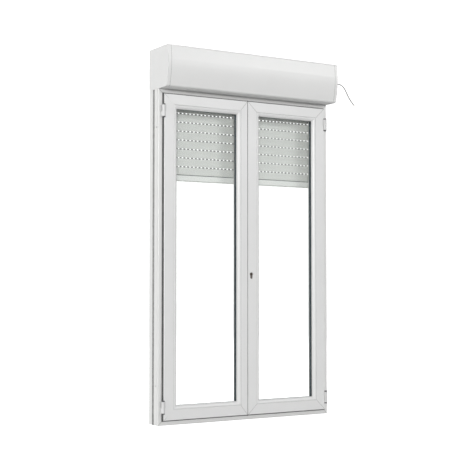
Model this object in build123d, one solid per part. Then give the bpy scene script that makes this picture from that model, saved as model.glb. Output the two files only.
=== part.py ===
"""French window in PVC with a motorised roller shutter in a box on its head.

X runs along the width from the window's middle, Y from the room face of the outer frame towards
outdoors, and Z up from the sill's underside. All sizes are in millimetres.
"""

import math
import os

from build123d import *

# ---- Driving dimensions --------------------------------------------------------------------------
WIDTH = 1200.0             # outer width of the window frame
FRAME_HEIGHT = 1950.0      # sill's underside to the head's top
FRAME_DEPTH = 74.0         # room face to outdoor face
BOX_HEIGHT = 240.0
BOX_FRONT = -124.0         # most forward line of the shutter box
BOX_BACK = 116.0
BOX_WALL = 5.0

FRAME_LIP = 30.0           # frame face left showing round the leaves
SASH_FACE = -18.0          # room face of the leaves
SASH_BACK = 44.0
SASH_LIP = 5.0             # thickness of the overlap lip
SASH_EDGE_RADIUS = 2.0
STILE_FACE = 64.0          # visible flat face of an ordinary sash member
RAIL_FACE = 60.0
PASSIVE_FACE = 45.0        # narrower meeting stile of the left leaf
ACTIVE_FACE = 62.0         # meeting stile of the right leaf, which carries the lock
HARDWARE_GAP = 12.0        # sash body set back behind its lip
SEAL_FLAP = 6.5            # how far the overlap seal's flap shows round a leaf
MEETING_GAP = 2.0          # from the middle to each leaf's lip
MEETING_SETBACK = 8.2      # from the middle lips to the sash bodies behind them

BEAD_WIDTH = 23.0
GLASS_FRONT = 4.0
PANE = 4.0
GLASS_GAP = 20.0
GLASS_BITE = 6.0           # sash face line to the glass edge
SPACER_WIDTH = 16.0

HINGE_X = WIDTH / 2 - 24.0
HINGE_Y = -20.0
HINGE_RADIUS = 10.0
HINGE_PIN_RADIUS = 4.0
HINGE_LENGTH = 66.0
HINGE_CAP = 6.0            # dark cap on each end of a hinge pin
KNUCKLE_GAP = 0.4          # between the two knuckles of a hinge
HINGE_HEIGHTS = (106.0, 1820.0)

KEY_X = 25.0               # keyhole, from the window's middle
KEY_Z = 872.0              # centre of the cylinder's round part
CAM_REACH = 10.2           # the cylinder's cam, from the key's axis to its tip

RAIL_DEPTH = 38.0          # guide rail, outdoor side of the frame
RAIL_WIDTH = 48.0
CURTAIN_Y = 94.0
SLAT_THICK = 7.0
SLAT_PITCH = 53.0
CURTAIN_HALF = 567.0
CURTAIN_BOTTOM = 1424.0
BAR_HEIGHT = 36.0
STRAIGHT_SLATS = 11
WOUND_SLATS = 26

ROLL_Z = 2050.0
TUBE_FLATS = 60.0          # octagonal winding tube, across flats
TUBE_WALL = 0.8
FIRST_TURN_RADIUS = 37.5
TURN_PITCH = 10.5
MOTOR_RADIUS = 22.5

LEAD_DIAMETER = 6.0
LEAD_EXIT = (601.0, -70.0, 2078.0)
LEAD_ROUTE = [
    LEAD_EXIT,
    (632.0, -70.0, 2078.0),
    (664.0, -69.0, 2076.5),
    (690.0, -68.0, 2061.5),
    (707.0, -69.0, 2034.5),
    (723.0, -71.0, 2004.0),
    (740.0, -74.0, 1977.0),
    (760.0, -78.0, 1954.0),
]

HALF = WIDTH / 2
BOX_TOP = FRAME_HEIGHT + BOX_HEIGHT
SASH_OUT = HALF - FRAME_LIP
SASH_Z0 = FRAME_LIP
SASH_Z1 = FRAME_HEIGHT - FRAME_LIP
GLASS_BACK = GLASS_FRONT + 2 * PANE + GLASS_GAP
LEAVES = ("left_leaf", "right_leaf")


# ---- Helpers -------------------------------------------------------------------------------------
def face_of(points):
    """A plane face inside a closed outline of 2-D or 3-D points."""
    return make_face(Polyline(*points, close=True))


def prism(points, vector):
    """Extrudes an outline of 3-D points along a vector."""
    way = Vector(*vector)
    return extrude(face_of(points), amount=way.length, dir=way.normalized())


def block(x0, x1, y0, y1, z0, z1):
    """A box between two corners."""
    size = (abs(x1 - x0), abs(y1 - y0), abs(z1 - z0))
    return Pos((x0 + x1) / 2, (y0 + y1) / 2, (z0 + z1) / 2) * Box(*size)


def along_x(face, x0, x1):
    """A face drawn in Y and Z, extruded from x0 to x1."""
    return extrude(Plane(origin=(x0, 0, 0), x_dir=(0, 1, 0), z_dir=(1, 0, 0)) * face, x1 - x0)


def rod_x(radius, x0, x1, y, z):
    """A round bar along X."""
    return Pos((x0 + x1) / 2, y, z) * Rot(0, 90, 0) * Cylinder(radius, abs(x1 - x0))


def rod_y(radius, y0, y1, x, z):
    """A round bar along Y."""
    return Pos(x, (y0 + y1) / 2, z) * Rot(90, 0, 0) * Cylinder(radius, abs(y1 - y0))


def rod_z(radius, z0, z1, x, y):
    """A round bar along Z."""
    return Pos(x, y, (z0 + z1) / 2) * Cylinder(radius, abs(z1 - z0))


def ring_x(outer, inner, x0, x1, y, z):
    """A tube along X."""
    return rod_x(outer, x0, x1, y, z) - rod_x(inner, x0 - 1, x1 + 1, y, z)


def save(name, *shapes):
    """Writes the solids of one sub-part to its own STEP file."""
    solids = [solid for shape in shapes for solid in shape.solids()]
    part = Compound(children=solids) if len(solids) > 1 else solids[0]
    part.label = name
    export_step(part, f"parts/{name}.step")


def both_ends(make):
    """The same piece made at the left (-1) and the right (+1) end."""
    return [make(side) for side in (-1, 1)]


# ---- Members round a rectangle -------------------------------------------------------------------
class Rectangle4:
    """A rectangle of four mitred members; widths are left, right, bottom and top sight widths."""

    def __init__(self, x0, x1, z0, z1, widths):
        self.x0, self.x1, self.z0, self.z1 = x0, x1, z0, z1
        self.left, self.right, self.bottom, self.top = widths

    def corner_prisms(self, reach, y0, y1):
        """Four prisms that hold each member up to its mitre lines, as long as reach times the width."""
        outer = {
            "lb": (self.x0, self.z0), "lt": (self.x0, self.z1),
            "rb": (self.x1, self.z0), "rt": (self.x1, self.z1),
        }
        inner = {
            "lb": (self.x0 + self.left * reach, self.z0 + self.bottom * reach),
            "lt": (self.x0 + self.left * reach, self.z1 - self.top * reach),
            "rb": (self.x1 - self.right * reach, self.z0 + self.bottom * reach),
            "rt": (self.x1 - self.right * reach, self.z1 - self.top * reach),
        }
        ends = {"left": "lb lt", "right": "rb rt", "bottom": "lb rb", "top": "lt rt"}
        prisms = {}
        for side, pair in ends.items():
            one, two = pair.split()
            outline = [outer[one], outer[two], inner[two], inner[one]]
            prisms[side] = prism([(x, y0, z) for x, z in outline], (0, y1 - y0, 0))
        return prisms

    def straight(self, side, section):
        """The section extruded along one side; its x is the distance in from the outer edge."""
        places = {
            "left": ((self.x0, 0, self.z0), (1, 0, 0), (0, 0, 1), self.z1 - self.z0),
            "right": ((self.x1, 0, self.z1), (-1, 0, 0), (0, 0, -1), self.z1 - self.z0),
            "bottom": ((self.x1, 0, self.z0), (0, 0, 1), (-1, 0, 0), self.x1 - self.x0),
            "top": ((self.x0, 0, self.z1), (0, 0, -1), (1, 0, 0), self.x1 - self.x0),
        }
        origin, inward, along, length = places[side]
        plane = Plane(origin=origin, x_dir=inward, z_dir=along)
        return extrude(plane * section, length)

    def members(self, section_of, reach=1.2, depth=(-60, 120)):
        """The four mitred members, with section_of giving each side's section."""
        prisms = self.corner_prisms(reach, *depth)
        return {side: self.straight(side, section_of(side)) & cut for side, cut in prisms.items()}

    def weld_grooves(self, face_y, reach, width=2.0, depth=0.8):
        """Shallow cleaned-weld grooves along the mitre lines of the room face."""
        corners = [
            (self.x0, self.z0, self.left, self.bottom), (self.x0, self.z1, self.left, -self.top),
            (self.x1, self.z0, -self.right, self.bottom), (self.x1, self.z1, -self.right, -self.top),
        ]
        grooves = []
        for x, z, along_x, along_z in corners:
            way = Vector(along_x, 0, along_z) * reach
            across = Vector(-along_z, 0, along_x).normalized() * width / 2
            start = Vector(x, face_y - 1, z)
            outline = [start + across, start + way + across, start + way - across, start - across]
            grooves.append(prism([tuple(p) for p in outline], (0, 1 + depth, 0)))
        return grooves


# ---- Outer frame ---------------------------------------------------------------------------------
FRAME_SIGHT = 62.0
REBATE_Y = 50.0            # the jamb's outdoor edge is rebated from here back to the guide rail
REBATE = 8.0
FIXING_HOLE_RADIUS = 5.25
FIXING_Y = 29.0
FIXING_HEIGHTS = (225.0, 1725.0)
CHAMBER = (10.0, 26.0, 14.0, 44.0)     # steel chamber of the frame section: u0, u1, y0, y1
STEEL_WALL = 1.5
STEEL_END = 60.0           # the frame's steel stops this far short of the corners
LEVEL_SIDES = ("bottom", "top")


def frame_section():
    outline = [
        (0, 0), (38, 0), (38, 10), (30, 10), (30, 48), (FRAME_SIGHT, 48), (FRAME_SIGHT, FRAME_DEPTH),
        (REBATE, FRAME_DEPTH), (REBATE, REBATE_Y), (0, REBATE_Y), (0, 13), (2.5, 13), (2.5, 9), (0, 9),
    ]
    face = face_of(outline)
    corners = [v for v in face.vertices() if abs(v.Y) < 0.01 and v.X < 39]
    face = fillet(corners, 2.5)
    u0, u1, y0, y1 = CHAMBER
    face -= Pos((u0 + u1) / 2, (y0 + y1) / 2) * Rectangle(u1 - u0, y1 - y0)
    face -= Pos(36, 61) * Rectangle(40, 14)
    return face


def steel_section(chamber):
    """Square steel tube that fills a chamber."""
    u0, u1, y0, y1 = chamber
    hollow = Rectangle(u1 - u0 - 2 * STEEL_WALL, y1 - y0 - 2 * STEEL_WALL)
    return Pos((u0 + u1) / 2, (y0 + y1) / 2) * (Rectangle(u1 - u0, y1 - y0) - hollow)


def fixing_drills():
    """Round cuts through both jambs for the wall anchors."""
    return [
        rod_x(FIXING_HOLE_RADIUS, side * (HALF - 40), side * (HALF + 5), FIXING_Y, z)
        for side in (-1, 1) for z in FIXING_HEIGHTS
    ]


def make_frame():
    outer = Rectangle4(-HALF, HALF, 0, FRAME_HEIGHT, [FRAME_SIGHT] * 4)
    section = frame_section()
    members = outer.members(lambda side: section)
    grooves = outer.weld_grooves(0, 0.6)
    solids = []
    for side, member in members.items():
        for groove in grooves:
            member -= groove
        for drill in fixing_drills():
            member -= drill
        solids.append(member)
    save("frame_profiles", *solids)

    tube = steel_section(CHAMBER)
    between = {
        "upright": block(-HALF, HALF, 0, FRAME_DEPTH, STEEL_END, FRAME_HEIGHT - STEEL_END),
        "level": block(-HALF + STEEL_END, HALF - STEEL_END, 0, FRAME_DEPTH, 0, FRAME_HEIGHT),
    }
    cores = []
    for side in members:
        core = outer.straight(side, tube) & between["level" if side in LEVEL_SIDES else "upright"]
        for drill in fixing_drills():
            core -= drill
        cores.append(core)
    save("frame_reinforcement", *cores)

    seal_ring = Rectangle4(-HALF, HALF, 0, FRAME_HEIGHT, [FRAME_SIGHT] * 4)
    seal = Pos(52, 46.2) * Rectangle(6, 3.6)
    save("frame_seal", *seal_ring.members(lambda side: seal).values())

    def joint_tape(side):
        inner, outer = side * (HALF - REBATE), side * (HALF - 1)
        return block(inner, outer, REBATE_Y, FRAME_DEPTH, 0, FRAME_HEIGHT)

    save("joint_tapes", *both_ends(joint_tape))


# ---- Leaves --------------------------------------------------------------------------------------
def sash_section(face, setback):
    """Overlap lip at the outer edge, body behind it, glazing rebate and outdoor glazing leg."""
    body_edge = setback
    leg = face + 16
    outline = [
        (0, SASH_FACE), (face, SASH_FACE), (face, GLASS_BACK + 2), (leg, GLASS_BACK + 2),
        (leg, SASH_BACK), (body_edge, SASH_BACK), (body_edge, SASH_FACE + SASH_LIP),
        (0, SASH_FACE + SASH_LIP),
    ]
    section = face_of(outline)
    edges = [v for v in section.vertices() if abs(v.Y - SASH_FACE) < 0.01]
    return fillet(edges, SASH_EDGE_RADIUS)


SASH_STEEL_END = 90.0      # the sash steel stops this far short of the corners


def sash_chamber(face, setback):
    """Steel chamber of a sash section: u0, u1, y0, y1."""
    return setback + 8.0, face - 7.0, 2.0, 34.0


def bead_section(face):
    """Rounded glazing bead: a valley at the sash face, a crest, then a fall to the glass."""
    back = GLASS_FRONT - 2
    valley = (face, SASH_FACE + 3.5)
    crest = (face + 5, SASH_FACE + 0.4)
    toe = (face + BEAD_WIDTH, GLASS_FRONT - 4.5)
    return make_face([
        Line((face, back), valley),
        ThreePointArc(valley, (face + 1.8, SASH_FACE + 1.2), crest),
        ThreePointArc(crest, (face + 16.5, SASH_FACE + 5), toe),
        Line(toe, (face + BEAD_WIDTH, back)),
        Line((face + BEAD_WIDTH, back), (face, back)),
    ])


def leaf_rectangle(leaf):
    if leaf == "left_leaf":
        faces = {"left": STILE_FACE, "right": PASSIVE_FACE, "bottom": RAIL_FACE, "top": RAIL_FACE}
        x0, x1 = -SASH_OUT, -MEETING_GAP
    else:
        faces = {"left": ACTIVE_FACE, "right": STILE_FACE, "bottom": RAIL_FACE, "top": RAIL_FACE}
        x0, x1 = MEETING_GAP, SASH_OUT
    widths = [faces[side] + BEAD_WIDTH for side in ("left", "right", "bottom", "top")]
    return Rectangle4(x0, x1, SASH_Z0, SASH_Z1, widths), faces


def meeting_side(leaf):
    return "right" if leaf == "left_leaf" else "left"


def lock_pocket():
    """Space in the active meeting stile for the lock case, its face plate and the cylinder."""
    edge = MEETING_GAP + MEETING_SETBACK
    pocket = block(edge - 1, KEY_X + 18, 7.5, 24.5, KEY_Z - 91, KEY_Z + 91)
    pocket += block(edge - 1, edge + 2.5, 5.5, 26.5, KEY_Z - 121, KEY_Z + 121)
    return pocket + cylinder_profile(SASH_FACE - 2, SASH_BACK + 2, 0.25)


def cylinder_profile(y0, y1, grow=0.0):
    """Profile cylinder shape along Y: a round barrel over a narrow round-ended leg."""
    barrel = rod_y(8.5 + grow, y0, y1, KEY_X, KEY_Z)
    leg = block(KEY_X - 5 - grow, KEY_X + 5 + grow, y0, y1, KEY_Z - 19.5, KEY_Z)
    foot = rod_y(5 + grow, y0, y1, KEY_X, KEY_Z - 19.5)
    return barrel + leg + foot


def hinge_cuts(leaf):
    """Round notches in the hinge stile's lip where the knuckles turn."""
    x = -HINGE_X if leaf == "left_leaf" else HINGE_X
    reach = HINGE_LENGTH / 2 + HINGE_CAP + 1
    return [rod_z(HINGE_RADIUS + 0.8, z - reach, z + reach, x, HINGE_Y) for z in HINGE_HEIGHTS]


def make_leaf(leaf):
    rect, faces = leaf_rectangle(leaf)
    short = leaf.replace("_leaf", "")
    meeting = meeting_side(leaf)
    setback = {side: MEETING_SETBACK if side == meeting else HARDWARE_GAP for side in faces}
    has_lock = leaf == "right_leaf"

    def chamber_of(side):
        u0, u1, y0, y1 = sash_chamber(faces[side], setback[side])
        return (KEY_X + 19 if has_lock and side == meeting else u0), u1, y0, y1

    def hollow_section(side):
        section = sash_section(faces[side], setback[side])
        u0, u1, y0, y1 = chamber_of(side)
        return section - Pos((u0 + u1) / 2, (y0 + y1) / 2) * Rectangle(u1 - u0, y1 - y0)

    profiles = rect.members(hollow_section)
    grooves = rect.weld_grooves(SASH_FACE, 0.74)
    solids = []
    for side, member in profiles.items():
        for groove in grooves:
            member -= groove
        if side not in LEVEL_SIDES and side != meeting:
            for notch in hinge_cuts(leaf):
                member -= notch
        if has_lock and side == meeting:
            member -= lock_pocket()
        solids.append(member)
    save(f"{short}_sash_profiles", *solids)

    beads = rect.members(lambda side: bead_section(faces[side]))
    save(f"{short}_glazing_beads", *beads.values())

    glass = [rect.x0 + faces["left"] + GLASS_BITE, rect.x1 - faces["right"] - GLASS_BITE]
    glass_z = [SASH_Z0 + RAIL_FACE + GLASS_BITE, SASH_Z1 - RAIL_FACE - GLASS_BITE]
    far = GLASS_FRONT + PANE + GLASS_GAP
    panes = [block(*glass, y, y + PANE, *glass_z) for y in (GLASS_FRONT, far)]
    save(f"{short}_glass_panes", *panes)
    outer = block(*glass, GLASS_FRONT + PANE, far, *glass_z)
    inner = block(glass[0] + SPACER_WIDTH, glass[1] - SPACER_WIDTH, GLASS_FRONT, far + 5,
                  glass_z[0] + SPACER_WIDTH, glass_z[1] - SPACER_WIDTH)
    save(f"{short}_glass_spacer", outer - inner)

    def glazing_seal(side):
        u = faces[side]
        return [Pos(u + 19, GLASS_FRONT - 1) * Rectangle(6, 2), Pos(u + 12, GLASS_BACK + 1) * Rectangle(6, 2)]

    seals = [rect.members(lambda side, index=index: glazing_seal(side)[index]) for index in (0, 1)]
    save(f"{short}_glazing_seals", *[solid for ring in seals for solid in ring.values()])

    flap = SEAL_FLAP
    x0, x1 = (rect.x0 - flap, rect.x1) if leaf == "left_leaf" else (rect.x0, rect.x1 + flap)
    seal_rect = Rectangle4(x0, x1, SASH_Z0 - flap, SASH_Z1 + flap,
                           [rect.left + flap, rect.right + flap, rect.bottom + flap, rect.top + flap])

    def lip_seal(side):
        if side == meeting:
            return Pos(4.4, -6.5) * Rectangle(7.6, 11)
        return face_of([(0, -1.6), (flap - 2, -1.6), (flap - 2, -12.8), (flap + 5, -12.8), (flap + 5, -0.6),
                        (0, -0.6)])

    lip_seals = seal_rect.members(lip_seal)
    hinge_side = -1 if leaf == "left_leaf" else 1
    flap_edge = hinge_side * (SASH_OUT + 2)
    reach = HINGE_LENGTH / 2 + 1
    plates = [block(flap_edge, hinge_side * HALF, -14, 1, z - reach, z + reach) for z in HINGE_HEIGHTS]
    notched = []
    for side, seal in lip_seals.items():
        for notch in hinge_cuts(leaf) + plates:
            seal -= notch
        notched.append(seal)
    save(f"{short}_sash_seal", *notched)

    end = SASH_STEEL_END
    between = {
        "upright": block(rect.x0, rect.x1, SASH_FACE, SASH_BACK, SASH_Z0 + end, SASH_Z1 - end),
        "level": block(rect.x0 + end, rect.x1 - end, SASH_FACE, SASH_BACK, SASH_Z0, SASH_Z1),
    }
    cores = []
    for side in faces:
        core = rect.straight(side, steel_section(chamber_of(side)))
        cores.append(core & between["level" if side in LEVEL_SIDES else "upright"])
    save(f"{short}_sash_reinforcement", *cores)

    blocks = []
    for x in (glass[0] + 40, glass[1] - 140):
        blocks.append(block(x, x + 100, GLASS_FRONT, GLASS_BACK, glass_z[0] - GLASS_BITE, glass_z[0]))
    save(f"{short}_setting_blocks", *blocks)


# ---- Hinges --------------------------------------------------------------------------------------
def make_hinges():
    """Pinned hinges: the lower knuckle and plate on the frame, the upper knuckle on the leaf."""
    frame_halves, pins = [], []
    leaf_halves = {-1: [], 1: []}
    bore = HINGE_PIN_RADIUS + 0.05
    half = HINGE_LENGTH / 2
    for side in (-1, 1):
        x = side * HINGE_X
        for z in HINGE_HEIGHTS:
            frame_top = z - 4
            leaf_foot, leaf_top = frame_top + KNUCKLE_GAP, z + half - 0.3
            knuckle = rod_z(HINGE_RADIUS, z - half, frame_top, x, HINGE_Y)
            web = block(x - side * 3, x + side * 7, HINGE_Y + 4, 0, z - half, frame_top)
            plate = block(x + side * 3, x + side * 15, -2, 0, z - half, z + half)
            frame_half = knuckle + web + plate
            frame_half -= rod_z(HINGE_PIN_RADIUS, z - half - 1, z + half + 1, x, HINGE_Y)
            frame_halves.append(frame_half)
            pin = rod_z(HINGE_PIN_RADIUS, z - half, z + half, x, HINGE_Y)
            for end in (z - half - HINGE_CAP, z + half):
                pin += rod_z(HINGE_RADIUS - 1, end, end + HINGE_CAP, x, HINGE_Y)
            pins.append(pin)
            knuckle = rod_z(HINGE_RADIUS, leaf_foot, leaf_top, x, HINGE_Y)
            tab = block(x, x - side * 15, SASH_FACE - 3, SASH_FACE, leaf_foot, leaf_top)
            leaf_half = knuckle + tab
            leaf_half -= rod_z(bore, z - half, z + half + 1, x, HINGE_Y)
            leaf_halves[side].append(leaf_half)
    save("hinge_frame_halves", *frame_halves)
    save("hinge_pins", *pins)
    save("left_hinge_halves", *leaf_halves[-1])
    save("right_hinge_halves", *leaf_halves[1])


# ---- Lock ----------------------------------------------------------------------------------------
def make_lock():
    edge = MEETING_GAP + MEETING_SETBACK
    hole = cylinder_profile(-30, 60, 0.25)
    case = block(edge + 2.5, KEY_X + 17.5, 8, 24, KEY_Z - 90, KEY_Z + 90)
    inside = block(edge + 4, KEY_X + 16, 9.5, 22.5, KEY_Z - 88.5, KEY_Z + 88.5)
    bolt_z = KEY_Z + 45
    bolt_way = block(edge - 5, edge + 8, 10.7, 21.3, bolt_z - 12.3, bolt_z + 12.3)
    plate = block(edge, edge + 2.5, 6, 26, KEY_Z - 120, KEY_Z + 120)
    save("lock_case", case + plate - inside - hole - bolt_way)
    bolt = block(edge, edge + 30, 11, 21, bolt_z - 12, bolt_z + 12)
    save("deadbolt", bolt)
    body = cylinder_profile(SASH_FACE + 3, SASH_BACK - 3)
    body -= rod_y(6.55, SASH_FACE - 1, SASH_FACE + 19, KEY_X, KEY_Z)
    body -= rod_y(1.45, SASH_FACE + 18, 12, KEY_X, KEY_Z)
    body -= block(KEY_X - 12, KEY_X + 12, 10.5, 21.5, KEY_Z - 30, KEY_Z + 12)
    save("profile_cylinder", body)
    plug = rod_y(6.5, SASH_FACE + 2.6, SASH_FACE + 18.6, KEY_X, KEY_Z)
    plug -= block(KEY_X - 1.1, KEY_X + 1.1, SASH_FACE, SASH_FACE + 17, KEY_Z - 4.6, KEY_Z + 4.6)
    plug += rod_y(1.4, SASH_FACE + 18.6, 12, KEY_X, KEY_Z)
    plug += rod_y(6.5, 11, 21, KEY_X, KEY_Z)
    plug += block(KEY_X - 2.5, KEY_X + 2.5, 11, 21, KEY_Z, KEY_Z + CAM_REACH)
    save("key_plug", plug)


# ---- Shutter guides and curtain ------------------------------------------------------------------
def make_guides():
    slot = (CURTAIN_Y - 6, CURTAIN_Y + 6)
    y0, y1 = FRAME_DEPTH, FRAME_DEPTH + RAIL_DEPTH

    def rail(side):
        outside, inside = side * HALF, side * (HALF - RAIL_WIDTH)
        web = side * (HALF - 26)
        outline = [
            (outside, y0), (inside, y0), (inside, slot[0]), (web, slot[0]), (web, slot[1]),
            (inside, slot[1]), (inside, y1), (outside, y1),
        ]
        solid = prism([(x, y, 0) for x, y in outline], (0, 0, FRAME_HEIGHT))
        return solid - block(outside - side * 4, side * (HALF - 22), y0 + 4, y1 - 4, -1, FRAME_HEIGHT + 1)

    save("guide_rails", *both_ends(rail))
    brushes = []
    for side in (-1, 1):
        x0, x1 = side * (HALF - RAIL_WIDTH), side * (HALF - RAIL_WIDTH + 7)
        gap = SLAT_THICK / 2 + 0.35
        brushes.append(block(x0, x1, slot[0], CURTAIN_Y - gap, 0, FRAME_HEIGHT))
        brushes.append(block(x0, x1, CURTAIN_Y + gap, slot[1], 0, FRAME_HEIGHT))
    save("guide_brushes", *brushes)


def slat_outline(z):
    """Section of a straight slat above height z, in Y and Z, with narrowed hooked edges."""
    half, hook, gap = SLAT_THICK / 2, 1.4, 0.2
    top = z + SLAT_PITCH
    heights = [(half, z + gap + 5), (hook, z + gap), (-hook, z + gap), (-half, z + gap + 5),
               (-half, top - gap - 8), (-hook, top - gap), (hook, top - gap), (half, top - gap - 8)]
    return [(CURTAIN_Y + y, height) for y, height in heights]


def make_curtain():
    slats = []
    base = CURTAIN_BOTTOM + BAR_HEIGHT
    for row in range(STRAIGHT_SLATS):
        z = base + row * SLAT_PITCH
        outline = [(-CURTAIN_HALF, y, height) for y, height in slat_outline(z)]
        slats.append(prism(outline, (2 * CURTAIN_HALF, 0, 0)))
    save("curtain_slats", *slats)
    bar = block(-CURTAIN_HALF, CURTAIN_HALF, CURTAIN_Y - 3.5, CURTAIN_Y + 3.5, CURTAIN_BOTTOM + 5, base)
    bar -= block(-CURTAIN_HALF - 1, CURTAIN_HALF + 1, CURTAIN_Y - 1.8, CURTAIN_Y + 1.8,
                 CURTAIN_BOTTOM + 9, base - 4)
    save("bottom_bar", bar)
    seal = block(-CURTAIN_HALF, CURTAIN_HALF, CURTAIN_Y - 2.5, CURTAIN_Y + 2.5, CURTAIN_BOTTOM,
                 CURTAIN_BOTTOM + 5)
    save("bottom_bar_seal", seal)


def wound_points():
    """Hinge points of the wound slats, from the innermost outwards, as radius and angle."""
    growth = TURN_PITCH / (2 * math.pi)
    points = [(FIRST_TURN_RADIUS, 0.0)]
    for _ in range(WOUND_SLATS):
        radius, angle = points[-1]
        step = 2 * math.asin(SLAT_PITCH / 2 / (radius + growth * 0.4))
        points.append((radius + growth * step, angle + step))
    return points


ROLL_POINTS = wound_points()
ROLL_RADIUS = ROLL_POINTS[-1][0]
ROLL_Y = CURTAIN_Y - ROLL_RADIUS


def on_roll(radius, angle):
    """A point of the roll in Y and Z: the last hinge faces outdoors, level with the axis."""
    turn = ROLL_POINTS[-1][1] - angle
    return ROLL_Y + radius * math.cos(turn), ROLL_Z + radius * math.sin(turn)


def wound_slat(radius, start, end):
    """A slat bent to the turn that it lies in, with a hinge gap at both ends."""
    gap = 1.5 / radius
    a, b = start + gap, end - gap
    middle = (a + b) / 2
    outer, inner = radius + SLAT_THICK / 2, radius - SLAT_THICK / 2
    return make_face([
        ThreePointArc(on_roll(outer, a), on_roll(outer, middle), on_roll(outer, b)),
        Line(on_roll(outer, b), on_roll(inner, b)),
        ThreePointArc(on_roll(inner, b), on_roll(inner, middle), on_roll(inner, a)),
        Line(on_roll(inner, a), on_roll(outer, a)),
    ])


def make_roller():
    slats = []
    for (r0, a0), (r1, a1) in zip(ROLL_POINTS, ROLL_POINTS[1:]):
        slats.append(along_x(wound_slat((r0 + r1) / 2, a0, a1), -CURTAIN_HALF, CURTAIN_HALF))
    save("wound_slats", *slats)

    outer_radius = TUBE_FLATS / 2 / math.cos(math.pi / 8)
    inner_radius = (TUBE_FLATS / 2 - TUBE_WALL) / math.cos(math.pi / 8)
    section = RegularPolygon(outer_radius, 8) - RegularPolygon(inner_radius, 8)
    tube = extrude(Rot(0, 0, 22.5) * section, 1118)
    save("winding_tube", Pos(-560, ROLL_Y, ROLL_Z) * Rot(0, 90, 0) * tube)

    fit = TUBE_FLATS / 2 - TUBE_WALL - 0.4
    crown = ring_x(fit, MOTOR_RADIUS + 0.5, 535, 556, ROLL_Y, ROLL_Z)
    save("limit_crown", crown)
    wheel = rod_x(fit, 58, 80, ROLL_Y, ROLL_Z) + rod_x(6, 80, 150, ROLL_Y, ROLL_Z)
    for turn in range(6):
        angle = math.radians(60 * turn)
        y, z = ROLL_Y + 18 * math.cos(angle), ROLL_Z + 18 * math.sin(angle)
        wheel -= rod_x(6, 50, 90, y, z)
    save("drive_wheel", wheel)
    plug = rod_x(fit, -556, -500, ROLL_Y, ROLL_Z) - rod_x(fit - 4, -546, -499, ROLL_Y, ROLL_Z)
    plug += rod_x(9, -568, -556, ROLL_Y, ROLL_Z) + rod_x(6, -589.5, -568, ROLL_Y, ROLL_Z)
    save("idler_plug", plug, ring_x(9, 6, -588, -576, ROLL_Y, ROLL_Z))


# ---- Motor ---------------------------------------------------------------------------------------
# Where each piece starts and ends along the roller's axis, from the window's middle.
GEARBOX = (90.0, 264.0)
STATOR = (270.0, 386.0)
ROTOR_CORE = (282.0, 374.0)
ROTOR_SHAFT = (256.0, 410.0)
BRAKE = (392.0, 420.0)
CAPACITOR = (424.0, 466.0)
LIMIT_SWITCH = (470.0, 546.0)
MOTOR_TUBE = (84.0, 562.0)
MOTOR_HEAD = (562.0, 584.0)
HEAD_TENON = (584.0, 590.0)    # square end that the bracket holds
DRIVE_SHAFT_END = 152.0
MOTOR_WALL = 1.5
TENON_HALF = 8.0


def make_motor():
    inside = MOTOR_RADIUS - MOTOR_WALL
    axis = (ROLL_Y, ROLL_Z)

    def square(half, ends):
        return block(*ends, ROLL_Y - half, ROLL_Y + half, ROLL_Z - half, ROLL_Z + half)

    save("motor_tube", ring_x(MOTOR_RADIUS, inside, *MOTOR_TUBE, *axis))
    spigot = rod_x(inside, MOTOR_HEAD[0] - 14, MOTOR_HEAD[0], *axis)
    save("motor_head", rod_x(26, *MOTOR_HEAD, *axis) + spigot + square(TENON_HALF, HEAD_TENON))
    save("limit_switch_unit", square(13, LIMIT_SWITCH))
    save("motor_capacitor", rod_x(15, *CAPACITOR, *axis))
    save("motor_brake", ring_x(inside, 4.5, *BRAKE, *axis))
    save("motor_stator", ring_x(inside, 11, *STATOR, *axis))
    save("motor_rotor", rod_x(10.4, *ROTOR_CORE, *axis) + rod_x(4, *ROTOR_SHAFT, *axis))
    gearbox = rod_x(inside, *GEARBOX, *axis)
    gearbox -= rod_x(6.06, GEARBOX[0] - 1, DRIVE_SHAFT_END, *axis)
    gearbox -= rod_x(4.5, GEARBOX[1] - 14, GEARBOX[1] + 1, *axis)
    save("planetary_gearbox", gearbox)


# ---- Box -----------------------------------------------------------------------------------------
CREASE = 0.66 * BOX_HEIGHT      # height of the crease above the box's underside
BAND_SETBACK = 6.0              # how far the slanted band leans back at its top
FOOT_SETBACK = 19.0             # how far the curve falls back at its foot
BULGE = 5.5
TOP_RADIUS = 12.0
FOOT_RADIUS = 14.0


def box_outline_face(inset=0.0):
    """Shutter box section in Y and Z: slanted upper band, crease, then a long curve to the underside."""
    back, top, bottom = BOX_BACK - inset, BOX_TOP - inset, FRAME_HEIGHT + inset
    crease = (BOX_FRONT + inset, FRAME_HEIGHT + CREASE)
    upper_radius, lower_radius = max(TOP_RADIUS - inset, 1), max(FOOT_RADIUS - inset, 1.5)
    upper = (BOX_FRONT + BAND_SETBACK + inset + upper_radius, top - upper_radius)
    lower = (BOX_FRONT + FOOT_SETBACK + inset + lower_radius, bottom + lower_radius)
    slant = math.sqrt(0.5)
    upper_mid = (upper[0] - upper_radius * slant, upper[1] + upper_radius * slant)
    lower_mid = (lower[0] - lower_radius * slant, lower[1] - lower_radius * slant)
    upper_end, lower_end = (upper[0] - upper_radius, upper[1]), (lower[0] - lower_radius, lower[1])
    bulge = (BOX_FRONT + inset + BULGE, FRAME_HEIGHT + CREASE / 2)
    return make_face([
        Line((back, bottom), (back, top)),
        Line((back, top), (upper[0], top)),
        ThreePointArc((upper[0], top), upper_mid, upper_end),
        Line(upper_end, crease),
        ThreePointArc(crease, bulge, lower_end),
        ThreePointArc(lower_end, lower_mid, (lower[0], bottom)),
        Line((lower[0], bottom), (back, bottom)),
    ])


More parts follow.
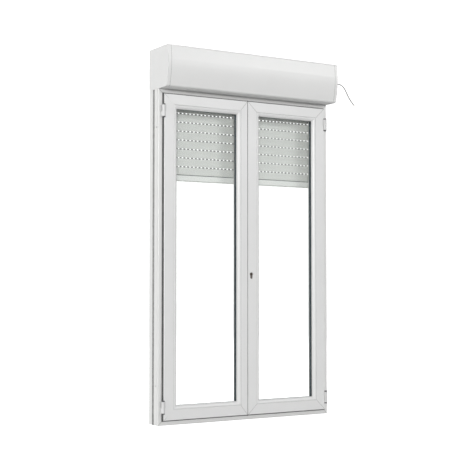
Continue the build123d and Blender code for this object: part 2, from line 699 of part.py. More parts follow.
CAP_RIM = 20.0
CAP_PLATE = 7.0
CAP_OUT = HALF + 1.0
COVER_HALF = CAP_OUT - CAP_RIM
THROAT = (86.0, 103.0)          # slot in the underside for the curtain
HATCH_BACK = 78.0
COVER_SEAM = -30.0              # where the front cover meets the top and base panels
FOAM = 13.0
FOAM_HALF = 575.0
BRACKET_PLATE = 4.0
BRACKET_HALF_DEPTH = 50.0
BRACKET_HALF_HEIGHT = 60.0


def make_box():
    full = box_outline_face()
    shell = full - box_outline_face(BOX_WALL)
    length = (-COVER_HALF, COVER_HALF)
    tube = along_x(shell, *length)
    front_zone = block(*length, BOX_FRONT, COVER_SEAM, FRAME_HEIGHT, BOX_TOP)
    save("box_front_cover", tube & front_zone)
    back_zone = block(*length, BOX_BACK - BOX_WALL, BOX_BACK, FRAME_HEIGHT, BOX_TOP)
    top_zone = block(*length, COVER_SEAM, BOX_BACK, FRAME_HEIGHT + BOX_HEIGHT / 2, BOX_TOP)
    save("box_top_panel", (tube & top_zone) - back_zone)
    lip = block(*length, THROAT[1], BOX_BACK - BOX_WALL, FRAME_HEIGHT, FRAME_HEIGHT + BOX_WALL)
    save("box_back_panel", (tube & back_zone) + lip)
    base = block(*length, COVER_SEAM, HATCH_BACK, FRAME_HEIGHT, FRAME_HEIGHT + BOX_WALL)
    save("box_base_panel", base)

    foam_face = box_outline_face(BOX_WALL + 0.3) - box_outline_face(BOX_WALL + FOAM)
    foam_zone = block(*length, BOX_FRONT, 60, FRAME_HEIGHT + 60, BOX_TOP)
    save("box_insulation", along_x(foam_face, -FOAM_HALF, FOAM_HALF) & foam_zone)

    def end_cap(side):
        plate = along_x(full, *sorted((side * CAP_OUT, side * (CAP_OUT - CAP_PLATE))))
        rim = along_x(shell, *sorted((side * CAP_OUT, side * (COVER_HALF + 0.6))))
        rim -= block(side * (COVER_HALF - 5), side * (CAP_OUT + 5), HATCH_BACK, BOX_BACK - BOX_WALL,
                     FRAME_HEIGHT - 1, FRAME_HEIGHT + BOX_WALL + 1)
        cap = plate + rim
        if side > 0:
            cap -= rod_x(LEAD_DIAMETER / 2, side * COVER_HALF, side * (CAP_OUT + 1), *LEAD_EXIT[1:])
        return cap

    left, right = both_ends(end_cap)
    save("left_end_cap", left)
    save("right_end_cap", right)

    inner_face = CAP_OUT - CAP_PLATE
    held = inner_face - BRACKET_PLATE

    def bracket_plate(side):
        return block(side * held, side * inner_face, ROLL_Y - BRACKET_HALF_DEPTH, ROLL_Y + BRACKET_HALF_DEPTH,
                     ROLL_Z - BRACKET_HALF_HEIGHT, ROLL_Z + BRACKET_HALF_HEIGHT)

    carrier = bracket_plate(-1)
    socket = rod_x(24, -held, -575, ROLL_Y, ROLL_Z)
    race_seat = rod_x(18, -held, -570, ROLL_Y, ROLL_Z)
    save("bearing_bracket", carrier + socket - race_seat)
    outer_race = ring_x(18, 14.5, -588, -576, ROLL_Y, ROLL_Z)
    balls = []
    for turn in range(8):
        angle = math.radians(45 * turn)
        y, z = ROLL_Y + 11.75 * math.cos(angle), ROLL_Z + 11.75 * math.sin(angle)
        balls.append(Pos(-582, y, z) * Sphere(2.6))
    save("idler_bearing", outer_race, *balls)
    key_way = block(held - 1, inner_face + 1, ROLL_Y - TENON_HALF, ROLL_Y + TENON_HALF,
                    ROLL_Z - TENON_HALF, ROLL_Z + TENON_HALF)
    save("motor_bracket", bracket_plate(1) - key_way)


# ---- Lead ----------------------------------------------------------------------------------------
def corner_radii(points):
    """The largest arc that each corner of a route allows."""
    radii = []
    for a, b, c in zip(points, points[1:], points[2:]):
        one, two = Vector(*b) - Vector(*a), Vector(*c) - Vector(*b)
        turn = math.radians(one.get_angle(two))
        radii.append(0.45 * min(one.length, two.length) / math.tan(turn / 2))
    return radii


def lead_tube(points, radius, radii):
    path = FilletPolyline(*points, radius=radii)
    start = Vector(*points[1]) - Vector(*points[0])
    section = Plane(origin=points[0], z_dir=start.normalized()) * Circle(radius)
    return sweep(section, path=path), path.length


def make_lead():
    radius = LEAD_DIAMETER / 2
    radii = corner_radii(LEAD_ROUTE)
    tube, length = lead_tube(LEAD_ROUTE, radius, radii)
    print("lead radii", [round(r, 1) for r in radii], "length", round(length, 1),
          "volume ratio", round(tube.volume / (math.pi * radius**2 * length), 4))
    save("motor_lead", tube)

    exit_x, exit_y, exit_z = LEAD_EXIT
    inner = [
        (573.0, ROLL_Y - 26.3, ROLL_Z), (573.0, -32.0, ROLL_Z), (573.0, -54.0, ROLL_Z + 18),
        (580.0, -68.5, ROLL_Z + 27), (588.0, exit_y, exit_z), (exit_x, exit_y, exit_z),
    ]
    inner_tube, _ = lead_tube(inner, radius, corner_radii(inner))
    save("motor_lead_inner", inner_tube)

    gland = Pos(exit_x + 7, exit_y, exit_z) * Rot(0, 90, 0) * Cone(8, 5, 14)
    gland += rod_x(11, exit_x, exit_x + 2.5, exit_y, exit_z)
    save("lead_gland", gland - rod_x(radius, exit_x - 1, exit_x + 20, exit_y, exit_z))

    end, before = Vector(*LEAD_ROUTE[-1]), Vector(*LEAD_ROUTE[-2])
    way = (end - before).normalized()
    plane = Plane(origin=end, z_dir=way)
    wires = []
    for turn in range(3):
        angle = math.radians(120 * turn + 30)
        wires.append(plane * Pos(1.4 * math.cos(angle), 1.4 * math.sin(angle), 4.5) * Cylinder(0.9, 9))
    save("lead_wires", *wires)


# ---- Screws --------------------------------------------------------------------------------------
def make_screws():
    """Pan screws that hold the two brackets to the end caps."""
    screws = []
    for side in (-1, 1):
        x = side * (CAP_OUT - CAP_PLATE - BRACKET_PLATE)
        for y in (ROLL_Y - BRACKET_HALF_DEPTH + 8, ROLL_Y + BRACKET_HALF_DEPTH - 8):
            for z in (ROLL_Z - BRACKET_HALF_HEIGHT + 10, ROLL_Z + BRACKET_HALF_HEIGHT - 10):
                screws.append(rod_x(4, x, x - side * 2.5, y, z))
    save("bracket_screws", *screws)


def main():
    os.makedirs("parts", exist_ok=True)
    make_frame()
    for leaf in LEAVES:
        make_leaf(leaf)
    make_hinges()
    make_lock()
    make_guides()
    make_curtain()
    make_roller()
    make_motor()
    make_box()
    make_lead()
    make_screws()
    print("roll radius", round(ROLL_RADIUS, 3), "roll y", round(ROLL_Y, 3))


main()
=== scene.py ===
import math

import bmesh
import bpy
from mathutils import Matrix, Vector


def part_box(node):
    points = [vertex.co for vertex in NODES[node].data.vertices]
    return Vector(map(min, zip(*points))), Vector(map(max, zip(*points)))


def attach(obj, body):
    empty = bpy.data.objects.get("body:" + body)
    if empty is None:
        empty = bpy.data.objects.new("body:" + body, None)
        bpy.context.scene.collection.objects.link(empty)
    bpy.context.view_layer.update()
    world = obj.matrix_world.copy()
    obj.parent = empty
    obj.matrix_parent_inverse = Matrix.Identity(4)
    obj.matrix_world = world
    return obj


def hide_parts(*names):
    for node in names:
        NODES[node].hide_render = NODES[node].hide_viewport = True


# A white PVC French window with a motorised roller shutter box on its head.
# Metres, in the part's own frame: X along the width, Y outdoors, Z up.

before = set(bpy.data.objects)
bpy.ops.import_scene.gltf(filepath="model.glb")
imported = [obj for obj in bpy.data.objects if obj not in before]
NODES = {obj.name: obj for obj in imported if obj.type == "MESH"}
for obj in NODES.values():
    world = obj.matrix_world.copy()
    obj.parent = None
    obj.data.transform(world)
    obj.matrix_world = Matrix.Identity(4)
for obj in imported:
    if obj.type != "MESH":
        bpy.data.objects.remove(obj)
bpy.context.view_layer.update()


# ---- Camera --------------------------------------------------------------------------------------
CAMERA_PLACE = (-3.594, -5.722, 0.828)
CAMERA_YAW = math.radians(31.45)       # turned from the window's normal towards its right side
CAMERA_PITCH = math.radians(2.49)      # tilted up
CAMERA_LENS = 86.3
SENSOR = 36.0


def make_camera():
    data = bpy.data.cameras.new("camera")
    data.lens, data.sensor_width = CAMERA_LENS, SENSOR
    data.clip_start, data.clip_end = 0.1, 100.0
    camera = bpy.data.objects.new("camera", data)
    camera.location = CAMERA_PLACE
    camera.rotation_euler = (math.pi / 2 + CAMERA_PITCH, 0, -CAMERA_YAW)
    bpy.context.scene.collection.objects.link(camera)
    bpy.context.scene.camera = camera


# ---- Mesh helpers --------------------------------------------------------------------------------
def link(name, mesh, material=None, smooth_angle=None):
    """A new object for a mesh, with its material and, where asked, smooth shading up to an angle."""
    piece = bpy.data.objects.new(name, mesh)
    bpy.context.scene.collection.objects.link(piece)
    if material:
        mesh.materials.append(material)
    if smooth_angle is not None:
        mesh.shade_smooth()
        mesh.set_sharp_from_angle(angle=math.radians(smooth_angle))
    return piece


def finish_mesh(name, bm, merge=1e-6):
    """Closes a bmesh: merges doubled corners and turns the faces outwards."""
    bmesh.ops.remove_doubles(bm, verts=bm.verts, dist=merge)
    bmesh.ops.recalc_face_normals(bm, faces=bm.faces)
    mesh = bpy.data.meshes.new(name)
    bm.to_mesh(mesh)
    bm.free()
    return mesh


def add_prism(bm, outline, sweep):
    """A closed prism from an outline of points and the vector it is swept along."""
    near = [bm.verts.new(p) for p in outline]
    far = [bm.verts.new(Vector(p) + Vector(sweep)) for p in outline]
    bm.faces.new(near)
    bm.faces.new(reversed(far))
    for i, corner in enumerate(near):
        j = (i + 1) % len(near)
        bm.faces.new((corner, far[i], far[j], near[j]))


def add_block(bm, low, high):
    (x0, y0, z0), (x1, y1, z1) = low, high
    add_prism(bm, [(x0, y0, z0), (x1, y0, z0), (x1, y1, z0), (x0, y1, z0)], (0, 0, z1 - z0))


def add_lathe(bm, profile, origin, axis, steps=32):
    """A turned solid: profile is (distance along the axis, radius), from one end to the other."""
    axis = Vector(axis).normalized()
    side = axis.orthogonal().normalized()
    other = axis.cross(side)
    rings = []
    for along, radius in profile:
        centre = Vector(origin) + axis * along
        ring = []
        for step in range(steps):
            turn = 2 * math.pi * step / steps
            ring.append(bm.verts.new(centre + (side * math.cos(turn) + other * math.sin(turn)) * radius))
        rings.append(ring)
    bm.faces.new(rings[0])
    bm.faces.new(reversed(rings[-1]))
    for near, far in zip(rings, rings[1:]):
        for i in range(steps):
            j = (i + 1) % steps
            bm.faces.new((near[i], far[i], far[j], near[j]))


def bevel(piece, width, segments=2, angle=40):
    """Rounds a piece's sharp edges."""
    modifier = piece.modifiers.new("rounded edges", "BEVEL")
    modifier.width, modifier.segments = width, segments
    modifier.limit_method, modifier.angle_limit = "ANGLE", math.radians(angle)
    return piece


# ---- Material helpers ----------------------------------------------------------------------------
class Look:
    """One procedural material: a Principled shader with helpers for its pattern nodes."""

    def __init__(self, name):
        self.material = bpy.data.materials.new(name)
        self.material.use_nodes = True
        self.tree = self.material.node_tree
        self.tree.nodes.clear()
        self.output = self.node("ShaderNodeOutputMaterial")
        self.shader = self.node("ShaderNodeBsdfPrincipled")
        self.join(self.shader.outputs["BSDF"], self.output.inputs["Surface"])
        self.place = self.node("ShaderNodeTexCoord").outputs["Object"]

    def node(self, kind):
        return self.tree.nodes.new(kind)

    def join(self, source, target):
        self.tree.links.new(source, target)

    def set(self, **values):
        """Plain values on the shader's own sockets."""
        for name, value in values.items():
            self.shader.inputs[name.replace("_", " ")].default_value = value
        return self

    def mapped(self, stretch):
        """Object coordinates in metres, stretched along the axes."""
        mapping = self.node("ShaderNodeMapping")
        mapping.inputs["Scale"].default_value = stretch
        self.join(self.place, mapping.inputs["Vector"])
        return mapping.outputs["Vector"]

    def noise(self, scale, detail=3.0, stretch=(1, 1, 1)):
        texture = self.node("ShaderNodeTexNoise")
        texture.inputs["Scale"].default_value = scale
        texture.inputs["Detail"].default_value = detail
        self.join(self.mapped(stretch), texture.inputs["Vector"])
        return texture.outputs["Fac"]

    def cells(self, scale, feature="F1", stretch=(1, 1, 1)):
        texture = self.node("ShaderNodeTexVoronoi")
        texture.feature = feature
        texture.inputs["Scale"].default_value = scale
        self.join(self.mapped(stretch), texture.inputs["Vector"])
        return texture.outputs["Distance"]

    def bands(self, scale, axis="X", distortion=0.0):
        texture = self.node("ShaderNodeTexWave")
        texture.bands_direction = axis
        texture.inputs["Scale"].default_value = scale
        texture.inputs["Distortion"].default_value = distortion
        self.join(self.place, texture.inputs["Vector"])
        return texture.outputs["Fac"]

    def ramp(self, factor, low, high, start=0.3, end=0.7):
        """Colours from low to high as the factor goes from start to end."""
        ramp = self.node("ShaderNodeValToRGB")
        ramp.color_ramp.elements[0].position, ramp.color_ramp.elements[1].position = start, end
        ramp.color_ramp.elements[0].color = (*low, 1)
        ramp.color_ramp.elements[1].color = (*high, 1)
        self.join(factor, ramp.inputs["Fac"])
        return ramp.outputs["Color"]

    def colour(self, factor, low, high, start=0.3, end=0.7):
        self.join(self.ramp(factor, low, high, start, end), self.shader.inputs["Base Color"])
        return self

    def roughness(self, factor, low, high):
        spread = self.node("ShaderNodeMapRange")
        spread.inputs["To Min"].default_value, spread.inputs["To Max"].default_value = low, high
        self.join(factor, spread.inputs["Value"])
        self.join(spread.outputs["Result"], self.shader.inputs["Roughness"])
        return self

    def bump(self, height, strength, distance):
        bump = self.node("ShaderNodeBump")
        bump.inputs["Strength"].default_value, bump.inputs["Distance"].default_value = strength, distance
        self.join(height, bump.inputs["Height"])
        self.join(bump.outputs["Normal"], self.shader.inputs["Normal"])
        return self


def tinted(colour, factor):
    return tuple(min(1.0, channel * factor) for channel in colour)


# ---- Materials -----------------------------------------------------------------------------------
def pvc(name, colour, low=0.26, high=0.36, grain=0.05):
    """Satin extruded PVC: a faint cloudiness, soft gloss and a very fine skin."""
    look = Look(name).set(Coat_Weight=0.1, Coat_Roughness=0.35, IOR=1.45)
    look.colour(look.noise(5.0), tinted(colour, 0.985), tinted(colour, 1.01))
    look.roughness(look.noise(60.0), low, high)
    look.bump(look.noise(900.0, 2.0), grain, 0.0002)
    return look.material


def slat_pvc():
    """Ribbed pale grey PVC with fine lines along the slat."""
    colour = (0.79, 0.795, 0.775)
    look = Look("slat_pvc").set(IOR=1.5)
    look.colour(look.noise(9.0, stretch=(0.3, 1, 3)), tinted(colour, 0.985), tinted(colour, 1.012))
    look.roughness(look.noise(80.0, stretch=(0.1, 1, 1)), 0.38, 0.52)
    look.bump(look.noise(700.0, 2.0, stretch=(0.02, 1, 1)), 0.12, 0.0003)
    return look.material


def rubber(name, colour):
    look = Look(name).set(IOR=1.45)
    look.colour(look.noise(45.0), tinted(colour, 0.8), tinted(colour, 1.25))
    look.roughness(look.noise(120.0), 0.6, 0.8)
    look.bump(look.noise(1500.0, 2.0), 0.2, 0.0002)
    return look.material


def metal(name, colour, low, high, stretch=(1, 1, 1), grain=0.15):
    """Metal with a drawn or turned grain along the least stretched axis."""
    look = Look(name).set(Metallic=1.0)
    look.colour(look.noise(30.0, 5.0, stretch), tinted(colour, 0.88), tinted(colour, 1.08))
    look.roughness(look.noise(220.0, 3.0, stretch), low, high)
    look.bump(look.noise(600.0, 3.0, stretch), grain, 0.0002)
    return look.material


def galvanised():
    """Zinc spangle: patches of slightly different grey and gloss."""
    look = Look("galvanised_steel").set(Metallic=1.0)
    spangle = look.cells(90.0)
    look.colour(spangle, (0.50, 0.52, 0.55), (0.68, 0.69, 0.71), 0.1, 0.8)
    look.roughness(look.cells(60.0), 0.32, 0.5)
    look.bump(look.noise(500.0), 0.1, 0.0002)
    return look.material


def moulded(name, colour, low=0.4, high=0.55):
    """Moulded plastic with a spark-eroded grain."""
    look = Look(name).set(IOR=1.5)
    look.colour(look.noise(12.0), tinted(colour, 0.92), tinted(colour, 1.06))
    look.roughness(look.noise(300.0), low, high)
    look.bump(look.cells(1400.0), 0.12, 0.0002)
    return look.material


def foam():
    """Expanded polystyrene: pressed round beads."""
    look = Look("foam").set(IOR=1.4)
    beads = look.cells(280.0, "SMOOTH_F1")
    look.colour(beads, (0.86, 0.86, 0.88), (0.72, 0.72, 0.75), 0.2, 0.9)
    look.roughness(look.noise(60.0), 0.75, 0.9)
    look.bump(beads, 0.5, 0.001)
    return look.material


def spacer():
    """Dark warm-edge spacer with two rows of fine breathing holes."""
    look = Look("spacer").set(IOR=1.5)
    holes = look.cells(260.0, "F1", (1, 1.4, 1))
    look.colour(holes, (0.02, 0.03, 0.035), (0.052, 0.070, 0.080), 0.18, 0.3)
    look.roughness(look.noise(90.0), 0.45, 0.6)
    look.bump(holes, 0.2, 0.0003)
    return look.material


def laminations():
    """Stacked steel laminations: thin dark lines across the axis."""
    look = Look("laminations").set(Metallic=0.85)
    stack = look.bands(320.0)
    look.colour(stack, (0.10, 0.09, 0.09), (0.42, 0.40, 0.39), 0.2, 0.6)
    look.roughness(look.noise(150.0), 0.35, 0.55)
    look.bump(stack, 0.4, 0.0004)
    return look.material


def pile():
    """Grey woven brush pile."""
    look = Look("brush_pile").set(Sheen_Weight=0.4, IOR=1.4)
    look.colour(look.noise(400.0, 2.0), (0.16, 0.165, 0.17), (0.36, 0.37, 0.38))
    look.roughness(look.noise(200.0), 0.8, 0.95)
    look.bump(look.noise(1200.0, 2.0, (1, 1, 0.3)), 0.4, 0.0004)
    return look.material


def glass():
    """Clear float glass: see-through, with a reflection that grows towards grazing angles."""
    look = Look("float_glass")
    look.tree.nodes.remove(look.shader)
    clear, gloss, mix = (look.node(f"ShaderNode{kind}") for kind in
                         ("BsdfTransparent", "BsdfGlossy", "MixShader"))
    clear.inputs["Color"].default_value = (0.992, 0.996, 0.993, 1)
    gloss.inputs["Roughness"].default_value = 0.03
    facing, steep, share = (look.node(f"ShaderNode{kind}") for kind in ("LayerWeight", "Math", "Math"))
    facing.inputs["Blend"].default_value = 0.5
    steep.operation, share.operation = "POWER", "MULTIPLY_ADD"
    steep.inputs[1].default_value = 5.0
    share.inputs[1].default_value, share.inputs[2].default_value = 0.9, 0.02
    look.join(facing.outputs["Facing"], steep.inputs[0])
    look.join(steep.outputs["Value"], share.inputs[0])
    waves = look.node("ShaderNodeBump")
    waves.inputs["Strength"].default_value, waves.inputs["Distance"].default_value = 0.05, 0.0005
    look.join(look.noise(6.0), waves.inputs["Height"])
    look.join(waves.outputs["Normal"], gloss.inputs["Normal"])
    look.join(share.outputs["Value"], mix.inputs["Fac"])
    look.join(clear.outputs["BSDF"], mix.inputs[1])
    look.join(gloss.outputs["BSDF"], mix.inputs[2])
    look.join(mix.outputs["Shader"], look.output.inputs["Surface"])
    return look.material


WHITE = (0.695, 0.695, 0.685)
LOOKS = {
    "frame": pvc("pvc_frame", WHITE),
    "sash": pvc("pvc_sash", (0.70, 0.70, 0.695)),
    "box": pvc("pvc_box", (0.68, 0.68, 0.672)),
    "slat": slat_pvc(),
    "coat": pvc("powder_coat", (0.93, 0.935, 0.92), 0.34, 0.46, 0.3),
    "hinge": pvc("hinge_coat", (0.58, 0.58, 0.575), 0.42, 0.52, 0.2),
    "galvanised": galvanised(),
    "seal": rubber("seal_rubber", (0.10, 0.10, 0.10)),
    "gasket": rubber("gasket_rubber", (0.03, 0.032, 0.035)),
    # Painted shade: the tape's dark grey stands for the shade in the groove between the guide rail and
    # the frame.
    "painted_groove_shade": rubber("joint_tape_painted_shade", (0.24, 0.24, 0.235)),
    # The seam grey is partly the weld line's own tone and partly painted shade of the groove or joint it
    # lies in.
    "seam": rubber("weld_seam_and_painted_shade", (0.30, 0.30, 0.29)),
    "bar seal": rubber("bar_seal", (0.56, 0.56, 0.54)),
    # Painted shade: the neck is the slat's own pale PVC, darkened to stand for the shade in the groove
    # between slats.
    "neck": moulded("slat_neck_painted_shade", (0.24, 0.245, 0.24)),
    "spacer": spacer(),
    "glass": glass(),
    "pin": metal("turned_steel", (0.62, 0.62, 0.64), 0.2, 0.3, (1, 1, 0.1)),
    # Painted shade: the pins' near-black ends stand for the shadows above and below each hinge barrel.
    "cap": moulded("hinge_pin_painted_shade", (0.07, 0.07, 0.075)),
    "lock": metal("zinc_plate", (0.40, 0.40, 0.41), 0.35, 0.5),
    "bronze": metal("dark_bronze", (0.13, 0.105, 0.09), 0.35, 0.5),
    "copper": metal("copper", (0.80, 0.42, 0.24), 0.25, 0.35),
    "pile": pile(),
    "foam": foam(),
    "motor": metal("motor_tube", (0.62, 0.63, 0.66), 0.28, 0.4, (0.1, 1, 1)),
    "nylon": moulded("nylon", (0.035, 0.035, 0.04)),
    "laminations": laminations(),
    "block": moulded("glazing_block", (0.08, 0.20, 0.45)),
    "sheath": rubber("lead_sheath", (0.24, 0.24, 0.235)),
    "core_brown": moulded("core_brown", (0.20, 0.08, 0.03)),
    "core_blue": moulded("core_blue", (0.03, 0.16, 0.50)),
    "core_green": moulded("core_green", (0.10, 0.38, 0.05)),
}
LOOK_OF_NODE = {
    "frame": ["frame_profiles", "guide_rails"],
    "sash": ["left_sash_profiles", "right_sash_profiles", "left_glazing_beads", "right_glazing_beads"],
    "box": ["box_front_cover", "box_top_panel", "box_back_panel", "box_base_panel", "left_end_cap",
            "right_end_cap"],
    "slat": ["wound_slats"],
    "coat": ["bottom_bar"],
    "hinge": ["hinge_frame_halves", "left_hinge_halves", "right_hinge_halves"],
    "galvanised": ["frame_reinforcement", "left_sash_reinforcement", "right_sash_reinforcement",
                   "winding_tube", "motor_bracket", "bearing_bracket", "bracket_screws"],
    "seal": ["frame_seal", "left_sash_seal", "right_sash_seal"],
    "bar seal": ["bottom_bar_seal"],
    "gasket": ["left_glazing_seals", "right_glazing_seals"],
    "painted_groove_shade": ["joint_tapes"],
    "spacer": ["left_glass_spacer", "right_glass_spacer"],
    "glass": ["left_glass_panes", "right_glass_panes"],
    "pin": ["idler_bearing"],
    "cap": ["hinge_pins"],
    "lock": ["lock_case", "deadbolt"],
    "bronze": ["profile_cylinder", "key_plug"],
    "foam": ["box_insulation"],
    "motor": ["motor_tube", "planetary_gearbox", "motor_rotor", "motor_brake"],
    "nylon": ["motor_head", "limit_switch_unit", "motor_capacitor", "limit_crown", "drive_wheel",
              "idler_plug"],
    "laminations": ["motor_stator"],
    "block": ["left_setting_blocks", "right_setting_blocks"],
    "sheath": ["motor_lead_inner"],
}


def dress_nodes():
    """Gives every CAD node that stays its own look."""
    for look, names in LOOK_OF_NODE.items():
        for name in names:
            mesh = NODES[name].data
            mesh.materials.clear()
            mesh.materials.append(LOOKS[look])


# ---- Motor lead ----------------------------------------------------------------------------------
LEAD_RADIUS = 0.003
LEAD_ROUTE = [
    (0.601, -0.070, 2.078),
    (0.632, -0.070, 2.078),
    (0.664, -0.069, 2.0765),
    (0.690, -0.068, 2.0615),
    (0.707, -0.069, 2.0345),
    (0.723, -0.071, 2.004),
    (0.740, -0.074, 1.977),
    (0.760, -0.078, 1.954),
]
CORE_RADIUS = 0.0009
CORE_LENGTH = 0.009
CORE_OFFSET = 0.0014


def make_lead():
    curve = bpy.data.curves.new("lead", "CURVE")
    curve.dimensions = "3D"
    curve.bevel_depth, curve.bevel_resolution, curve.resolution_u = LEAD_RADIUS, 6, 16
    curve.use_fill_caps = True
    spline = curve.splines.new("NURBS")
    spline.points.add(len(LEAD_ROUTE) - 1)
    for point, place in zip(spline.points, LEAD_ROUTE):
        point.co = (*place, 1)
    spline.order_u = 3
    spline.use_endpoint_u = True
    lead = bpy.data.objects.new("lead", curve)
    bpy.context.scene.collection.objects.link(lead)
    curve.materials.append(LOOKS["sheath"])
    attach(lead, "root")
    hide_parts("motor_lead")
    return lead


def make_cores():
    """Three insulated cores with bare copper tips beyond the end of the sheath."""
    end, before = Vector(LEAD_ROUTE[-1]), Vector(LEAD_ROUTE[-2])
    way = (end - before).normalized()
    side = way.orthogonal().normalized()
    other = way.cross(side)
    cores = []
    for index, colour in enumerate(("brown", "blue", "green")):
        turn = math.radians(120 * index + 30)
        offset = (side * math.cos(turn) + other * math.sin(turn)) * CORE_OFFSET
        bm = bmesh.new()
        skin = CORE_LENGTH * 0.55
        add_lathe(bm, [(-0.002, CORE_RADIUS), (skin - 0.0001, CORE_RADIUS), (skin, CORE_RADIUS * 0.9)],
                  end + offset, way, 16)
        first = len(bm.faces)
        add_lathe(bm, [(skin, CORE_RADIUS * 0.62), (CORE_LENGTH - 0.0002, CORE_RADIUS * 0.62),
                       (CORE_LENGTH, CORE_RADIUS * 0.45)], end + offset, way, 16)
        bm.faces.ensure_lookup_table()
        for face in bm.faces[first:]:
            face.material_index = 1
        core = link(f"lead_core_{colour}", finish_mesh("core", bm), LOOKS[f"core_{colour}"], 40)
        core.data.materials.append(LOOKS["copper"])
        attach(core, "root")
        cores.append(core)
    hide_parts("lead_wires")
    return cores


def make_gland():
    """Tapered, ribbed strain relief round the lead where it leaves the end cap."""
    profile = [(0.0, 0.0108), (0.0004, 0.011), (0.0021, 0.011), (0.0025, 0.0106), (0.0025, 0.0078)]
    ribs = 4
    for rib in range(ribs):
        start = 0.0035 + rib * 0.0028
        radius = 0.0078 - rib * 0.0008
        profile += [(start, radius), (start + 0.0017, radius - 0.0003), (start + 0.0017, radius - 0.0014),
                    (start + 0.0026, radius - 0.0016)]
    profile += [(0.0195, 0.0038), (0.020, 0.0034)]
    bm = bmesh.new()
    add_lathe(bm, profile, LEAD_ROUTE[0], (1, 0, 0), 40)
    gland = link("lead_strain_relief", finish_mesh("gland", bm), LOOKS["sheath"], 35)
    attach(gland, "root")
    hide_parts("lead_gland")
    return gland


make_camera()
lead = make_lead()
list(make_cores())
make_gland()


# ---- Curtain -------------------------------------------------------------------------------------
SLAT_PITCH = 0.053
CURTAIN_LOW, CURTAIN_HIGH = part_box("curtain_slats")
CURTAIN_Y = (CURTAIN_LOW.y + CURTAIN_HIGH.y) / 2
SLAT_BODY = (0.0036, 0.0482)          # heights of the slat's hollow body above its lower hinge line
NECK_TOP = 0.0556
NECK_HALF = 0.0006
SLOT_PITCH, SLOT_LENGTH, SLOT_HEIGHT = 0.026, 0.0135, 0.0064
ARC_STEPS = 8


def slat_body_outline(z):
    """Curved hollow slat seen from its end: bulging outdoors and dished on the room side."""
    low, high = z + SLAT_BODY[0], z + SLAT_BODY[1]
    room, outdoors = [], []
    for step in range(ARC_STEPS + 1):
        share = step / ARC_STEPS
        swell = 1 - (2 * share - 1) ** 2
        edge = min(1.0, 10 * share, 10 * (1 - share))
        height = low + (high - low) * share
        room.append((CURTAIN_Y - 0.0012 - 0.0023 * edge + 0.0011 * swell * edge, height))
        outdoors.append((CURTAIN_Y + 0.0012 + 0.0011 * edge + 0.0012 * swell * edge, height))
    return room + outdoors[::-1]


def slot_loop(centre, z, half_width, half_height, steps=4):
    """Points round a slot with round ends, anticlockwise from its lower right."""
    points = []
    straight = half_width - half_height
    for side, first in ((1, -90), (-1, 90)):
        for step in range(steps + 1):
            turn = math.radians(first + 180 * step / steps)
            points.append((centre + side * straight + half_height * math.cos(turn),
                           z + half_height * math.sin(turn)))
    return points


def cell_loop(centre, z0, z1, half_width, steps=4):
    """Points round a slot's rectangle of neck, matched one by one with slot_loop."""
    right = [(centre + half_width, z0 + (z1 - z0) * step / steps) for step in range(steps + 1)]
    left = [(centre - half_width, z1 + (z0 - z1) * step / steps) for step in range(steps + 1)]
    return right + left


def add_neck(bm, x0, x1, z):
    """The hooked neck above a slat, pierced by a row of light slots."""
    z0, z1 = z + SLAT_BODY[1] - 0.001, z + NECK_TOP
    count = int((x1 - x0) // SLOT_PITCH)
    margin = (x1 - x0 - count * SLOT_PITCH) / 2
    faces = (CURTAIN_Y - NECK_HALF, CURTAIN_Y + NECK_HALF)
    slot_z = (z + SLAT_BODY[1] + z + SLAT_PITCH + SLAT_BODY[0]) / 2
    for index in range(count):
        centre = x0 + margin + (index + 0.5) * SLOT_PITCH
        inner = slot_loop(centre, slot_z, SLOT_LENGTH / 2, SLOT_HEIGHT / 2)
        outer = cell_loop(centre, z0, z1, SLOT_PITCH / 2)
        rings = [[bm.verts.new((x, y, height)) for x, height in loop]
                 for loop in (outer, inner) for y in faces]
        outer_room, outer_out, inner_room, inner_out = rings
        total = len(inner)
        for i in range(total):
            j = (i + 1) % total
            bm.faces.new((outer_room[i], outer_room[j], inner_room[j], inner_room[i]))
            bm.faces.new((outer_out[i], inner_out[i], inner_out[j], outer_out[j]))
            bm.faces.new((inner_room[i], inner_room[j], inner_out[j], inner_out[i]))
        ends = len(inner) // 2
        for i in (ends - 1, total - 1):
            j = (i + 1) % total
            bm.faces.new((outer_room[i], outer_out[i], outer_out[j], outer_room[j]))
    for a, b in ((x0, x0 + margin), (x1 - margin, x1)):
        for i in range(4):
            low = z0 + (z1 - z0) * i / 4
            high = z0 + (z1 - z0) * (i + 1) / 4
            for y in faces:
                bm.faces.new([bm.verts.new(p) for p in ((a, y, low), (b, y, low),
                                                        (b, y, high), (a, y, high))])
            end = a if a == x0 else b
            bm.faces.new([bm.verts.new(p) for p in ((end, faces[0], low), (end, faces[1], low),
                                                    (end, faces[1], high), (end, faces[0], high))])
        for height in (z0, z1):
            bm.faces.new([bm.verts.new(p) for p in ((a, faces[0], height), (b, faces[0], height),
                                                    (b, faces[1], height), (a, faces[1], height))])


def make_curtain():
    """Eleven slats that share one mesh, each a curved hollow body with its pierced neck."""
    x0, x1 = CURTAIN_LOW.x, CURTAIN_HIGH.x
    bm = bmesh.new()
    add_prism(bm, [(x0, y, z) for y, z in slat_body_outline(0)], (x1 - x0, 0, 0))
    body_faces = len(bm.faces)
    add_neck(bm, x0 + 0.002, x1 - 0.002, 0)
    bm.faces.ensure_lookup_table()
    for face in bm.faces[body_faces:]:
        face.material_index = 1
    mesh = finish_mesh("slat", bm)
    mesh.materials.append(LOOKS["slat"])
    # The neck faces take the painted-shade grey that stands for the groove's shade.
    mesh.materials.append(LOOKS["neck"])
    mesh.shade_smooth()
    mesh.set_sharp_from_angle(angle=math.radians(30))
    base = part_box("bottom_bar")[1].z
    rows = round((CURTAIN_HIGH.z - base) / SLAT_PITCH)
    for row in range(rows):
        slat = link(f"slat_{row + 1:02d}", mesh)
        slat.location.z = base + row * SLAT_PITCH
        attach(slat, "curtain")
        if row == 0:
            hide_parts("curtain_slats")


